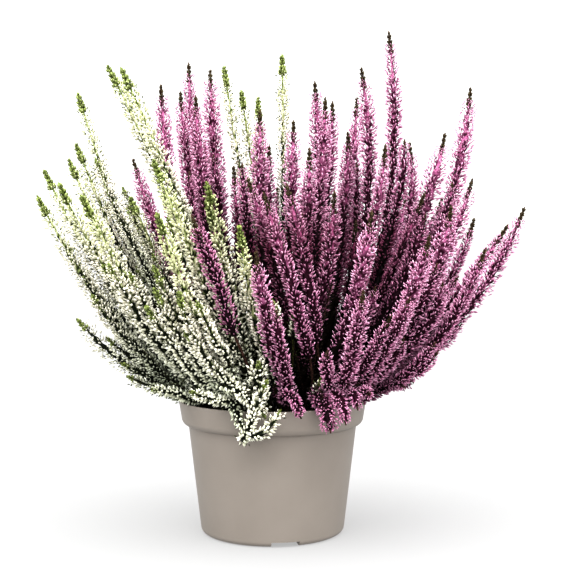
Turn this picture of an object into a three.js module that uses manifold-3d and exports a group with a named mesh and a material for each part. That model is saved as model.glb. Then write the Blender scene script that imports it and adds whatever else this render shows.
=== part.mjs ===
// Potted heather: a white and a magenta-pink bud-blooming heather planted together in a plain
// moulded plastic pot. Every spray is one solid that stands in its own hole in the root ball.
// Millimetres, +Z up, -Y is the front. The origin is the middle of the pot's flat base.

import * as THREE from "three";
import { mergeVertices } from "three/addons/utils/BufferGeometryUtils.js";
import Module from "manifold-3d";

// ---------------------------------------------------------------- driving dimensions

// Pot
const rimRadius = 66.8; // at the top of the rim band, which widens upwards
const bandFootRadius = 64.9;
const potHeight = 95;
const wall = 1.4;
const bodyTopRadius = 59.8; // just under the rim band
const baseRadius = 51.3;
const baseEdgeRound = 4;
const lipRound = 0.7;
const shoulderHeight = 5.2; // the rounded step from the body out to the rim band
const shoulderFoot = 77.2; // height at which that step leaves the body
const potSides = 32;

// Drain channels in the base, each ending as a notch in the base edge, and the holes they feed
const channelCount = 3;
const channelWidth = 19.5;
const channelHeight = 3.4;
const channelInnerEnd = 26; // distance from the pot's axis
const firstChannelAngle = -79; // degrees from +X, just right of the front
const drainHoleRadius = 4;
const drainHoleDistance = 32;
const cutOver = 4; // how far a cutting solid reaches past what it cuts

// Root ball
const fitGap = 0.3; // between the root ball and the pot, and round each stem
const soilEdgeHeight = 85;
const soilCrown = 1.5; // how much the soil rises towards the middle
const soilSides = 20;
const stemDepth = 11; // how far each stem stands in the soil
const footHeight = 89; // where a stem starts to lean, just above the soil

// Sprays
const stemRadius = 1.5;
const floretReach = 6.3; // from the stem's axis to the end of a floret
const floretRoot = 2.5; // from the axis to the cleft between florets
const floretPitch = 9.1; // from one whorl to the next
const floretRise = 3.6; // how far a floret's end stands above its whorl
const floretTurn = 32; // degrees from one whorl to the next
const smallestFloret = 0.6; // of the full reach, at the bottom and the top of a spike
const openingShare = 0.2; // the part of a spike over which its florets grow to their full reach
const closingShare = 0.22; // and over which they get smaller again
const leafyTipLength = 13;
const leafyTipRadius = 2.3;
const leafyTipPitch = 5;
const stemStep = 14; // between the rings of a bare stem
const footShrink = 0.3; // a foot lies on the way to the tip's place, this much out
const footLimit = 49; // no foot stands further from the axis
const whiteBow = 0.06; // the middle of a white spray hangs out by this much of its reach
const pinkBow = 0.2;
const sideShootBow = 0.17;
const bareStemInside = 62; // bare stem on a spray that stands in the middle
const bareStemOutside = 9; // and on one that stands at the edge
const sideShootStart = 10; // how far up its spray a side shoot leaves it
const sideShootGirth = 0.72;
const sideShootBare = 7;

// Settling: sprays that would cross are bent clear of each other
const settleRounds = 160;
const settleSamples = 30;
const settleGap = 0.5;
const tipHold = 0.35; // a tip gives way this much less readily than the rest

// ---------------------------------------------------------------- planting plan
// Each row is one spray: where its tip stands and, for a spray that doesn't rise straight from
// under its tip, where its foot stands. `side` is the tip of a side shoot, `bow` is how much the
// spray's middle hangs out where that isn't its plant's usual, `through` is the control point of a
// sprig that tumbles over the rim, and `girth` makes a spray slimmer or stouter.

const whitePlan = [
  { tip: [-163, -20, 239], side: [-100, -30, 114], bow: 0.1 },
  { tip: [-163, 5, 258] },
  { tip: [-143, -45, 247] },
  { tip: [-149, 25, 267], side: [-94, 32, 112] },
  { tip: [-149, 55, 280], side: [-80, 56, 108] },
  { tip: [-145, 45, 317] },
  { tip: [-124, -70, 238], side: [-80, -58, 108] },
  { tip: [-138, -10, 152], side: [-88, 6, 98], bow: 0.17, girth: 0.75 },
  { tip: [-109, 40, 239] },
  { tip: [-112, -30, 327], foot: [-16, -34], bow: -0.07 },
  { tip: [-100, -50, 323], foot: [-10, -42], bow: -0.05 },
  { tip: [-75, -85, 260], foot: [-4, -46], side: [-58, -92, 177] },
  { tip: [-71, -105, 226], foot: [-8, -38], side: [-52, -84, 110], girth: 0.85 },
  { tip: [-43, -60, 247], foot: [0, -30] },
  { tip: [-19, -85, 218], foot: [8, -40], girth: 0.85 },
  { tip: [-38, 65, 339], foot: [3, 19], bow: 0, girth: 0.8 },
  { tip: [-26, 90, 324], foot: [8, 27], bow: 0, girth: 0.8 },
  { tip: [-13, 105, 320], girth: 0.8 },
  { tip: [6, 50, 346], girth: 0.8 },
  { tip: [-115, 85, 235], side: [-66, 72, 104] },
  { tip: [-80, 112, 240], side: [-38, 86, 106] },
  { tip: [-17, -79, 79], side: [0, -79, 86], foot: [-10, -45], through: [-20, -66, 118], girth: 1.1 },
];

const pinkPlan = [
  { tip: [-107, 60, 269], bow: 0.06 },
  { tip: [-81, 20, 320] },
  { tip: [-70, 55, 319] },
  { tip: [-66, 80, 344] },
  { tip: [-57, 35, 314] },
  { tip: [-48, 60, 336], side: [-29, 30, 262] },
  { tip: [-9, 10, 301] },
  { tip: [-2, 35, 278] },
  { tip: [15, 5, 293] },
  { tip: [26, -20, 272] },
  { tip: [31, 50, 326], bow: 0.5 },
  { tip: [38, 20, 311] },
  { tip: [45, 75, 314] },
  { tip: [56, 55, 289], bow: 0.3 },
  { tip: [65, 95, 319] },
  { tip: [65, 40, 335], side: [60, 10, 222], foot: [34, 20], bow: 0.6 },
  { tip: [84, 25, 359], foot: [46, 4], bow: 0.5 },
  { tip: [77, -40, 273], girth: 0.8 },
  { tip: [104, 70, 282], side: [128, 60, 240], bow: 0.3, girth: 0.7 },
  { tip: [123, 5, 284], side: [98, 15, 200], bow: 0.1 },
  { tip: [143, 20, 318], side: [92, 18, 106], bow: 0.25 },
  { tip: [151, 60, 254], side: [148, 30, 224], bow: 0.12 },
  { tip: [145, -40, 203], side: [88, -36, 104], girth: 0.7 },
  { tip: [182, 15, 231], side: [100, -6, 106], bow: 0.25, girth: 0.85 },
  { tip: [165, -14, 219], bow: 0.08, girth: 0.85 },
  { tip: [121, -45, 232], side: [118, -30, 165] },
  { tip: [103, -75, 212], side: [64, -72, 106] },
  { tip: [59, -95, 177], foot: [38, -31] },
  { tip: [81, -65, 159], girth: 0.85 },
  { tip: [-11, -80, 202], foot: [16, -42] },
  { tip: [42, -60, 241] },
  { tip: [66, -70, 228] },
  { tip: [105, 100, 245], side: [64, 76, 108] },
  { tip: [58, 125, 262], side: [34, 92, 104] },
  { tip: [2, 130, 250], side: [-4, 94, 110] },
  { tip: [40, -76, 79], foot: [30, -36], through: [36, -64, 118] },
];

// ---------------------------------------------------------------- helpers

const up = new THREE.Vector3(0, 0, 1);
const smooth = (x) => THREE.MathUtils.smoothstep(x, 0, 1);
const radians = THREE.MathUtils.degToRad;

// A closed geometry as a manifold-3d solid, with its shared vertices merged.
function toSolid(geometry) {
  const bare = geometry.clone();
  bare.deleteAttribute("normal");
  bare.deleteAttribute("uv");
  const merged = mergeVertices(bare, 1e-4);
  return new wasm.Manifold(
    new wasm.Mesh({
      numProp: 3,
      vertProperties: merged.attributes.position.array,
      triVerts: new Uint32Array(merged.index.array),
    }),
  );
}

function fromSolid(solid) {
  const mesh = solid.getMesh();
  const geometry = new THREE.BufferGeometry();
  geometry.setAttribute("position", new THREE.BufferAttribute(mesh.vertProperties, 3));
  geometry.setIndex(new THREE.BufferAttribute(mesh.triVerts, 1));
  geometry.computeVertexNormals();
  return geometry;
}

// A profile of [radius, height] points, from the axis back to the axis, turned about +Z.
function turned(profile, sides) {
  const points = profile.map(([radius, height]) => new THREE.Vector2(radius, height));
  return new THREE.LatheGeometry(points, sides).rotateX(Math.PI / 2);
}

// Points on an arc about [radius, height], from one angle to another in degrees.
function arc([centreRadius, centreHeight], radius, from, to, steps) {
  return Array.from({ length: steps + 1 }, (_, i) => {
    const angle = radians(from + ((to - from) * i) / steps);
    return [centreRadius + radius * Math.cos(angle), centreHeight + radius * Math.sin(angle)];
  });
}

// ---------------------------------------------------------------- pot

// The rounded step under the rim band, as an S from the body's wall out to the band's wall.
function shoulder(inset) {
  const steps = 4;
  return Array.from({ length: steps + 1 }, (_, i) => {
    const along = i / steps;
    const out = Math.sqrt(1 - (1 - along) ** 2);
    const radius = bodyTopRadius + (bandFootRadius - bodyTopRadius) * out - inset;
    return [radius, shoulderFoot + shoulderHeight * along + inset * (1 - along)];
  });
}

function potOutside() {
  return [
    [0, 0],
    ...arc([baseRadius - baseEdgeRound, baseEdgeRound], baseEdgeRound, -90, -6, 3),
    ...shoulder(0),
    ...arc([rimRadius - lipRound, potHeight - lipRound], lipRound, 0, 90, 2),
  ];
}

function potInside() {
  return [
    [rimRadius - wall, potHeight - lipRound],
    ...shoulder(wall).reverse(),
    [baseRadius - wall, baseEdgeRound + wall],
    [baseRadius - baseEdgeRound, wall],
    [0, wall],
  ];
}

// A radial box over one drain channel, from the channel's inner end out past the base edge.
function channelBlock(index, width, height, innerEnd, outerEnd) {
  const block = new THREE.BoxGeometry(outerEnd - innerEnd, width, height);
  block.translate((innerEnd + outerEnd) / 2, 0, height / 2);
  block.rotateZ(radians(firstChannelAngle + (360 / channelCount) * index));
  return toSolid(block);
}

function drainHole(index) {
  const length = 2 * (channelHeight + wall + cutOver);
  const hole = new THREE.CylinderGeometry(drainHoleRadius, drainHoleRadius, length, 16);
  hole.rotateX(Math.PI / 2);
  hole.translate(drainHoleDistance, 0, 0);
  hole.rotateZ(radians(firstChannelAngle + (360 / channelCount) * index));
  return toSolid(hole);
}

function potSolid() {
  const filled = toSolid(turned([...potOutside(), [0, potHeight]], potSides));
  let solid = toSolid(turned([...potOutside(), ...potInside()], potSides));
  for (let index = 0; index < channelCount; index += 1) {
    const roofWidth = channelWidth + 2 * wall;
    const roofHeight = channelHeight + wall;
    const roof = channelBlock(index, roofWidth, roofHeight, channelInnerEnd - wall, rimRadius);
    const channel = channelBlock(index, channelWidth, channelHeight, channelInnerEnd, rimRadius);
    solid = solid.add(roof.intersect(filled)).subtract(channel).subtract(drainHole(index));
  }
  return solid;
}

// ---------------------------------------------------------------- root ball

function soilProfile() {
  const inset = wall + fitGap;
  const [neck, bandFoot] = [shoulder(inset).at(0), shoulder(inset).at(-1)];
  return [
    [0, inset],
    [baseRadius - baseEdgeRound - fitGap, inset],
    [baseRadius - inset, baseEdgeRound + inset],
    neck,
    bandFoot,
    [bandFoot[0], soilEdgeHeight],
    [bandFoot[0] * 0.6, soilEdgeHeight + soilCrown * 0.8],
    [0, soilEdgeHeight + soilCrown],
  ];
}

function stemHole(foot) {
  const radius = (stemRadius + fitGap) / Math.cos(Math.PI / 6);
  const length = stemDepth + fitGap + cutOver;
  const hole = new THREE.CylinderGeometry(radius, radius, length, 6);
  hole.rotateX(Math.PI / 2);
  hole.translate(foot.x, foot.y, footHeight + cutOver - length / 2);
  return toSolid(hole);
}

function soilSolid(feet) {
  let solid = toSolid(turned(soilProfile(), soilSides));
  for (let index = 0; index < channelCount; index += 1) {
    const roofSpace = channelBlock(
      index,
      channelWidth + 2 * (wall + fitGap),
      channelHeight + wall + fitGap,
      channelInnerEnd - wall - fitGap,
      rimRadius,
    );
    solid = solid.subtract(roofSpace);
  }
  for (const foot of feet) solid = solid.subtract(stemHole(foot));
  return solid;
}

// ---------------------------------------------------------------- sprays

const curveOf = ({ start, control, end }) => new THREE.QuadraticBezierCurve3(start, control, end);

// The control point of a stem whose middle hangs outwards and down from the straight line.
function bowed(start, end, bow) {
  const out = new THREE.Vector3(end.x - start.x, end.y - start.y, 0);
  const reach = out.length();
  const rise = Math.atan2(end.z - start.z, reach);
  const hang = out.normalize().multiplyScalar(Math.sin(rise)).setZ(-Math.cos(rise));
  return start.clone().lerp(end, 0.5).addScaledVector(hang, 2 * bow * reach);
}

// Where a spray runs: its foot, the control point of its bow and its tip, and the same for
// its side shoot.
function layOut({ tip, foot, side, through, bow, girth = 1 }) {
  const end = new THREE.Vector3(...tip);
  const start = foot ? new THREE.Vector3(...foot, 0) : end.clone().setZ(0).multiplyScalar(footShrink);
  const fromAxis = Math.min(start.length(), footLimit);
  start.setLength(fromAxis).setZ(footHeight);
  const control = through ? new THREE.Vector3(...through) : bowed(start, end, bow);
  const spray = { start, control, end, girth };
  spray.length = curveOf(spray).getLength();
  const bare = THREE.MathUtils.lerp(bareStemInside, bareStemOutside, (fromAxis / footLimit) ** 2);
  spray.bare = Math.min(bare, spray.length / 3);
  if (side) spray.side = layOutSide(spray, new THREE.Vector3(...side));
  return spray;
}

function layOutSide(parent, end) {
  const start = curveOf(parent).getPointAt(sideShootStart / parent.length);
  const shoot = { parent, start, control: bowed(start, end, sideShootBow), end };
  const length = curveOf(shoot).getLength();
  return { ...shoot, length, girth: sideShootGirth, bare: sideShootBare };
}

const bareStem = { crest: stemRadius, cleft: stemRadius, rise: 0 };

// How far a spray stands out from its axis at a distance from its foot.
function reachAt(spray, distance) {
  const bloomEnd = spray.length - leafyTipLength;
  if (distance < spray.bare) return stemRadius;
  if (distance > bloomEnd) return leafyTipRadius;
  const along = (distance - spray.bare) / (bloomEnd - spray.bare);
  const opening = smooth(along / openingShare);
  const closing = smooth((1 - along) / closingShare);
  const size = THREE.MathUtils.lerp(smallestFloret, 1, opening * closing);
  return floretReach * spray.girth * size;
}

// Sample points of a spray for settling, with the room that it needs at each.
function samplesOf(spray) {
  const curve = curveOf(spray);
  return Array.from({ length: settleSamples + 1 }, (_, i) => {
    const t = i / settleSamples;
    const room = i === 0 && !spray.parent ? 2 * stemRadius : reachAt(spray, t * spray.length);
    return { t, room, point: curve.getPoint(t) };
  });
}

// Moves the part of a spray near t by a vector, by way of its three control points.
function nudge(spray, t, push) {
  const weights = [(1 - t) ** 2, 2 * t * (1 - t), t ** 2];
  const share = weights.reduce((sum, weight) => sum + weight ** 2, 0);
  spray.control.addScaledVector(push, weights[1] / share);
  spray.end.addScaledVector(push, (weights[2] / share) * tipHold);
  if (spray.parent) return;
  spray.start.addScaledVector(push, weights[0] / share).setZ(footHeight);
  const fromAxis = Math.hypot(spray.start.x, spray.start.y);
  if (fromAxis > footLimit) {
    spray.start.x *= footLimit / fromAxis;
    spray.start.y *= footLimit / fromAxis;
  }
}

// The pair of samples of two sprays that most lack room, if any do.
function worstMeeting(samplesA, samplesB) {
  let worst = null;
  let lack = 0;
  for (const a of samplesA) {
    for (const b of samplesB) {
      const need = a.room + b.room + settleGap;
      if (Math.abs(a.point.z - b.point.z) > need) continue;
      const short = need - a.point.distanceTo(b.point);
      if (short > lack) {
        lack = short;
        worst = { a, b, short };
      }
    }
  }
  return worst;
}

// Keeps a spray above the soil and off the pot's lip: what hangs outside the pot is moved out
// from it, and the rest is lifted.
function clearPot(spray, samples) {
  for (const { t, room, point } of samples) {
    const fromAxis = Math.hypot(point.x, point.y);
    const need = room + lipRound + settleGap;
    const beside = fromAxis - (rimRadius - lipRound);
    const overLip = Math.sqrt(Math.max(need ** 2 - beside ** 2, 0));
    if (beside > 0 && beside < need && point.z < potHeight) {
      nudge(spray, t, new THREE.Vector3(point.x, point.y, 0).setLength(need - beside));
    } else if (Math.abs(beside) < need && point.z < potHeight + overLip) {
      nudge(spray, t, up.clone().multiplyScalar((potHeight + overLip - point.z) / 2));
    }
    const lift = soilEdgeHeight + soilCrown + room - point.z;
    if (t > 0 && lift > 0 && beside < 0) nudge(spray, t, up.clone().multiplyScalar(lift / 2));
  }
}

function settle(sprays) {
  const stems = sprays.flatMap((spray) => (spray.side ? [spray, spray.side] : [spray]));
  for (let round = 0; round < settleRounds; round += 1) {
    const samples = stems.map(samplesOf);
    for (let i = 0; i < stems.length; i += 1) {
      for (let j = i + 1; j < stems.length; j += 1) {
        const meeting = stems[j].parent === stems[i] ? null : worstMeeting(samples[i], samples[j]);
        if (!meeting) continue;
        const { a, b, short } = meeting;
        const apart = a.point.clone().sub(b.point);
        apart.setLength(short / 3);
        nudge(stems[i], a.t, apart);
        nudge(stems[j], b.t, apart.negate());
      }
      clearPot(stems[i], samples[i]);
    }
    for (const { side, ...spray } of sprays) {
      if (side) side.start.copy(curveOf(spray).getPointAt(sideShootStart / spray.length));
    }
  }
}

// The rings along a spray's curve, from above its foot to just under its tip: how far along each
// lies, and how far its crests and its clefts stand from the axis.
function ringsOf(spray) {
  const rings = [];
  const stemRings = Math.max(Math.round(spray.bare / stemStep), 1);
  for (let i = 1; i <= stemRings; i += 1) {
    rings.push({ distance: (spray.bare * i) / (stemRings + 0.5), ...bareStem });
  }
  const bloomEnd = spray.length - leafyTipLength;
  const whorls = Math.round((bloomEnd - spray.bare) / floretPitch);
  for (let i = 0; i < whorls; i += 1) {
    const distance = spray.bare + ((bloomEnd - spray.bare) * i) / whorls;
    const cleft = floretRoot * spray.girth;
    rings.push({ distance, crest: reachAt(spray, distance), cleft, rise: floretRise });
  }
  for (let along = 0; along < leafyTipLength - 2; along += leafyTipPitch) {
    const crest = leafyTipRadius * Math.sqrt(1 - (along / leafyTipLength) ** 2);
    rings.push({ distance: bloomEnd + along, crest, cleft: crest * 0.6, rise: 0 });
  }
  return rings;
}

// Four points round an axis, crests and clefts in turn. They change places from ring to ring.
function ringPoints(centre, along, across, ring, index) {
  const side = across.clone().addScaledVector(along, -across.dot(along)).normalize();
  const other = along.clone().cross(side);
  return [0, 1, 2, 3].map((corner) => {
    const isCrest = (index + corner) % 2 === 0;
    const angle = radians(90 * corner + floretTurn * index);
    const radius = isCrest ? ring.crest : ring.cleft;
    return centre
      .clone()
      .addScaledVector(side, radius * Math.cos(angle))
      .addScaledVector(other, radius * Math.sin(angle))
      .addScaledVector(along, isCrest ? ring.rise : -ring.rise / 3);
  });
}

// The triangles of a closed skin over rings of four points, from a bottom point to a top point.
// Between two rings the triangles meet along the clefts, so every crest is a point of its own.
function skin(rings, bottomPoint, topPoint) {
  const faces = [];
  const first = (ring) => 4 * ring;
  const bottom = first(rings.length);
  const top = bottom + 1;
  for (let corner = 0; corner < 4; corner += 1) {
    const next = (corner + 1) % 4;
    faces.push(bottom, next, corner);
    for (let ring = 0; ring + 1 < rings.length; ring += 1) {
      const [a, b] = [first(ring) + corner, first(ring) + next];
      const [c, d] = [first(ring + 1) + next, first(ring + 1) + corner];
      const startsAtCrest = (ring + corner) % 2 === 0;
      faces.push(...(startsAtCrest ? [a, b, d, b, c, d] : [a, b, c, a, c, d]));
    }
    faces.push(top, first(rings.length - 1) + corner, first(rings.length - 1) + next);
  }
  const points = [...rings.flat(), bottomPoint, topPoint].flatMap((point) => point.toArray());
  const geometry = new THREE.BufferGeometry();
  geometry.setAttribute("position", new THREE.Float32BufferAttribute(points, 3));
  geometry.setIndex(faces);
  return geometry;
}

// One stem with its florets. A spray's own stem also has its straight foot in the soil.
function stemSolid(stem) {
  const curve = curveOf(stem);
  const level = new THREE.Vector3(stem.end.x - stem.start.x, stem.end.y - stem.start.y, 0);
  const across = level.normalize().cross(up).negate();
  const bottomPoint = stem.start.clone();
  const rings = [];
  if (!stem.parent) {
    bottomPoint.z -= stemDepth;
    rings.push(ringPoints(bottomPoint, up, across, bareStem, 0));
    rings.push(ringPoints(stem.start, up, across, bareStem, 1));
  }
  for (const ring of ringsOf(stem)) {
    const along = ring.distance / stem.length;
    const tangent = curve.getTangentAt(along);
    rings.push(ringPoints(curve.getPointAt(along), tangent, across, ring, rings.length));
  }
  return toSolid(skin(rings, bottomPoint, stem.end));
}

// A spray with its side shoot fused on, in its own place relative to its foot.
function sprayGeometry(spray) {
  const stems = spray.side ? [spray, spray.side] : [spray];
  for (const stem of stems) stem.length = curveOf(stem).getLength();
  const solid = stems.map(stemSolid).reduce((whole, stem) => whole.add(stem));
  return fromSolid(solid).translate(-spray.start.x, -spray.start.y, -spray.start.z);
}

// ---------------------------------------------------------------- assembly

const finishes = {
  pot: { color: "#aba298", roughness: 0.55, metalness: 0 },
  soil: { color: "#2b2019", roughness: 0.95, metalness: 0 },
  white: { color: "#ecebdd", roughness: 0.7, metalness: 0 },
  pink: { color: "#bb5c9a", roughness: 0.7, metalness: 0 },
};

function named(name, geometry, finish) {
  const material = new THREE.MeshStandardMaterial({ ...finishes[finish], flatShading: true });
  const mesh = new THREE.Mesh(geometry, material);
  mesh.name = name;
  return mesh;
}

function plant(group, colour, sprays) {
  sprays.forEach((spray, i) => {
    const name = `${colour}_spray_${String(i + 1).padStart(2, "0")}`;
    const mesh = named(name, sprayGeometry(spray), colour);
    mesh.position.copy(spray.start);
    group.add(mesh);
  });
}

const wasm = await Module();
wasm.setup();

const whiteSprays = whitePlan.map((row) => layOut({ bow: whiteBow, ...row }));
const pinkSprays = pinkPlan.map((row) => layOut({ bow: pinkBow, ...row }));
const allSprays = [...whiteSprays, ...pinkSprays];
settle(allSprays);

const group = new THREE.Group();
group.add(named("pot", fromSolid(potSolid()), "pot"));
group.add(named("soil", fromSolid(soilSolid(allSprays.map((spray) => spray.start))), "soil"));
plant(group, "white", whiteSprays);
plant(group, "pink", pinkSprays);

export default group;
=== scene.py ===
"""Potted heather: a white and a magenta-pink bud-blooming heather in one moulded plastic pot.

+Z is up and -Y is the front. Sizes and places are in millimetres until a mesh is made in metres.
Each spray of the frame is dressed along its own stem with fine buds, scale leaves and a leafy tip.
The pot and the peat get finer surfaces of the same sizes. Twigs, old growth and a few loose shoots
fill the gaps between the sprays.
"""

import math

import bpy
import numpy as np
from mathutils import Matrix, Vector, noise


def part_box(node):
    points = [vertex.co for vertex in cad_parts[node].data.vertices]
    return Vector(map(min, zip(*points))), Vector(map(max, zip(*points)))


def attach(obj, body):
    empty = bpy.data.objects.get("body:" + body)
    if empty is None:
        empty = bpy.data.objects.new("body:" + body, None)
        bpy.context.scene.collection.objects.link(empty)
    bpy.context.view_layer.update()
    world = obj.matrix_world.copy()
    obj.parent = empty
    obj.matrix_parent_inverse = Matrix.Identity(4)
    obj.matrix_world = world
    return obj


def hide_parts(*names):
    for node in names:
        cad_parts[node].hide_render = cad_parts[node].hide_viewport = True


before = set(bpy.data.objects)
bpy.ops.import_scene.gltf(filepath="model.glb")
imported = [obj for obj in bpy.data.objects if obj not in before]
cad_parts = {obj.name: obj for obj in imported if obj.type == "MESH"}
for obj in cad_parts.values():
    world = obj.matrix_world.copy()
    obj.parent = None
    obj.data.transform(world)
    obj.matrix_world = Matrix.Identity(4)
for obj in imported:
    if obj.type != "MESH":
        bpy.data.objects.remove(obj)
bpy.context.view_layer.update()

MM = 0.001
GOLDEN_ANGLE = math.radians(137.5)  # from one bud or leaf to the next, round a stem

# ------------------------------------------------------------------ camera and light

CAMERA_PLACE = (0.0139, -0.850, 0.216)  # metres
CAMERA_TILT = -0.053  # radians from level
SENSOR_WIDTH = 36  # mm
FOCAL_PIXELS = 1194.5
IMAGE_WIDTH = 584  # pixels
VIEW_END = 200  # metres
EXPOSURE = 0.45  # stops
GAMMA = 0.72
TABLE_HALF_WIDTH = 40.0  # metres, far more than the view
TABLE_GAP = 0.2 * MM  # under the pot
TABLE_GLOW = 0.39  # strength of the light that comes up through the table top

# ------------------------------------------------------------------ pot sizes, in millimetres

RIM_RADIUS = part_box("pot")[1].x / MM
POT_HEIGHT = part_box("pot")[1].z / MM
WALL = 1.4
BAND_FOOT_RADIUS = 64.9  # the rim band widens from here to the rim
BODY_TOP_RADIUS = 59.8
BASE_RADIUS = 51.3
BASE_EDGE_ROUND = 4
LIP_ROUND = 0.7
SHOULDER_HEIGHT = 5.2
SHOULDER_FOOT = 77.2
BEAD_ROUND = 0.5  # the moulding line at the shoulder's foot
CHANNEL_WIDTH = 19.5
CHANNEL_HEIGHT = 3.4
CHANNEL_INNER_END = 26
CHANNEL_ANGLES = (-79, 41, 161)
DRAIN_HOLE_RADIUS = 4
DRAIN_HOLE_DISTANCE = 32
POT_SIDES = 128
SHARP_EDGE = 35  # degrees; edges sharper than this aren't smoothed over

# ------------------------------------------------------------------ peat sizes, in millimetres

PEAT_TOP = 85
PEAT_CROWN = 1.5  # how much the top rises towards the middle
PEAT_FLOOR = 5.6
PEAT_GAP = 0.6  # between the peat and the pot
PEAT_RADIUS = BAND_FOOT_RADIUS - WALL - PEAT_GAP  # at the top
LUMP_SIZE = 7
LUMP_HEIGHT = 1.1
CRUMB_COUNT = 280
CRUMB_LENGTHS = (0.9, 3.2)
CRUMB_MARGIN = 3  # peat without loose crumbs along the pot's wall

# ------------------------------------------------------------------ spray sizes, in millimetres

FOOT_HEIGHT = 89  # where a stem starts to lean
STEM_DEPTH = 11  # how far a solid's straight foot goes down from there
FOOT_LENGTH = 9  # and how far a dressed stem's does
FOOT_LIMIT = 49  # no stem stands further from the pot's axis
BARE_STEMS = (56, 7)  # the bare stem of a spray in the middle, and of one at the edge
STEM_RADIUS = 1.2
TWIG_RADIUS = 0.5
FULL_REACH = 6.3  # from the axis of a full spray to the ends of its florets
SIDE_SHOOT_REACH = 0.72  # of a full spray's reach
SPRIG_REACH = 0.62  # of a full spray's reach
BRANCH_REACH = 0.82  # of its own spray's reach
SIDE_SHOOT_START = 10  # how far up its spray a side shoot leaves it
SHOOT_CLEARANCE = 8.5  # points further than this from a stem belong to its side shoot
SHORTEST_BRANCHED = 100  # shorter sprays have no branches
OUTER_FROM = 95  # sprays that end further to the left or right than this are the bushiest
TIP_LENGTH = 14
SHORTEST_TIP = 3
LOW_END = 100  # a stem that ends at this height is in shade and has the shortest leafy tip
TUFT_PITCH = 3.6  # between the leaf tufts of a leafy tip
BUSH_MIDDLE = 8  # how far right of the pot's axis the middle of the bush is
CURVE_POINTS = 121  # along a curve that is fitted to a spray
TWIG_BED = 46  # radius of the peat that twigs grow from
THICKET_BED = 40  # and of the peat under the old growth

# Small flowering shoots that stand apart from the sprays. Each row holds a shoot's start, control
# point and end, its reach, its share of bare stem and the painted shading at its tip, from 0 in deep
# painted shade to 1.
WHITE_LOOSE_SHOOTS = [
    ((12, -38, 86), (14, -49, 128), (16, -60, 169), 3.0, 0.68, 0.7),
    ((26, -40, 86), (30, -50, 102), (33, -59, 117), 3.4, 0.5, 0.7),
    ((-26, -64, 102), (-14, -86, 64), (7, -74, 98), 5.2, 0.0, 0.7),
    ((-42, -58, 118), (-20, -74, 114), (-3, -76, 92), 6.0, 0.0, 0.7),
    ((-15, -39, 88), (-48, -66, 116), (-76, -76, 178), 6.0, 0.15, 0.8),
    ((-18, -38, 88), (-50, -60, 112), (-82, -72, 166), 5.6, 0.15, 0.7),
    ((-16, -42, 88), (-32, -64, 114), (-56, -80, 150), 5.2, 0.15, 0.7),
    ((-4, -38, 88), (-20, -60, 150), (-43, -58, 236), 4.2, 0.3, 1.0),
    ((-14, -38, 88), (-46, -64, 122), (-77, -70, 192), 5.6, 0.15, 0.8),
]
PINK_LOOSE_SHOOTS = [
    ((50, -32, 86), (68, -56, 124), (74, -62, 152), 4.4, 0.3, 0.7),
    ((34, -44, 90), (46, -66, 124), (49, -77, 88), 5.0, 0.2, 0.7),
    ((40, -42, 90), (54, -62, 122), (57, -72, 97), 4.2, 0.3, 0.7),
    ((32, -34, 88), (24, -78, 150), (-5, -60, 240), 5.6, 0.3, 1.0),
    ((36, -30, 88), (34, -72, 150), (10, -54, 246), 5.6, 0.35, 1.0),
    ((24, -26, 88), (14, -64, 160), (-16, -48, 250), 5.4, 0.4, 1.0),
    ((10, -44, 90), (6, -68, 122), (20, -76, 92), 4.2, 0.3, 0.5),
    ((-2, -44, 88), (-24, -86, 150), (-51, -78, 225), 6.3, 0.46, 0.45),
]


# ------------------------------------------------------------------ nodes and colours


def linear(colour):
    """An sRGB hex colour as linear red, green, blue and alpha."""
    channels = [int(colour[i : i + 2], 16) / 255 for i in (1, 3, 5)]
    return (*[c / 12.92 if c <= 0.04045 else ((c + 0.055) / 1.055) ** 2.4 for c in channels], 1.0)


def add_node(tree, kind, inputs=None, stops=(), **settings):
    """Adds a node with its settings. Each input gets a value, or a link from another socket."""
    node = tree.nodes.new(kind)
    for name, value in settings.items():
        setattr(node, name, value)
    for name, value in (inputs or {}).items():
        if isinstance(value, bpy.types.NodeSocket):
            tree.links.new(value, node.inputs[name])
        else:
            node.inputs[name].default_value = value
    if stops:
        elements = node.color_ramp.elements
        while len(elements) < len(stops):
            elements.new(1.0)
        for element, (place, colour) in zip(elements, stops):
            element.position = place
            element.color = linear(colour)
    return node


def noise_scale(size):
    """The scale of a noise whose lumps are this many millimetres across."""
    return 1 / (size * MM)


def new_material(name):
    """A new material, its nodes and the node of its surface."""
    material = bpy.data.materials.new(name)
    material.use_nodes = True
    tree = material.node_tree
    return material, tree, tree.nodes["Principled BSDF"]


MIX_FACTOR, MIX_A, MIX_B, MIX_RESULT = 0, 6, 7, 2  # the colour sockets of a Mix node
DEEP_SHADE = [(0.0, "#1c1a18"), (0.5, "#84827e"), (1.0, "#ffffff")]  # painted shade: dark in the bush's middle, none at its outside


def shaded_by(tree, colour, attribute, stops):
    """A colour multiplied by one that an attribute picks from a ramp."""
    place = add_node(tree, "ShaderNodeAttribute", attribute_name=attribute).outputs["Fac"]
    shade = add_node(tree, "ShaderNodeValToRGB", {"Fac": place}, stops=stops).outputs["Color"]
    return add_node(
        tree,
        "ShaderNodeMix",
        {MIX_FACTOR: 1.0, MIX_A: colour, MIX_B: shade},
        data_type="RGBA",
        blend_type="MULTIPLY",
    ).outputs[MIX_RESULT]


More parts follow.
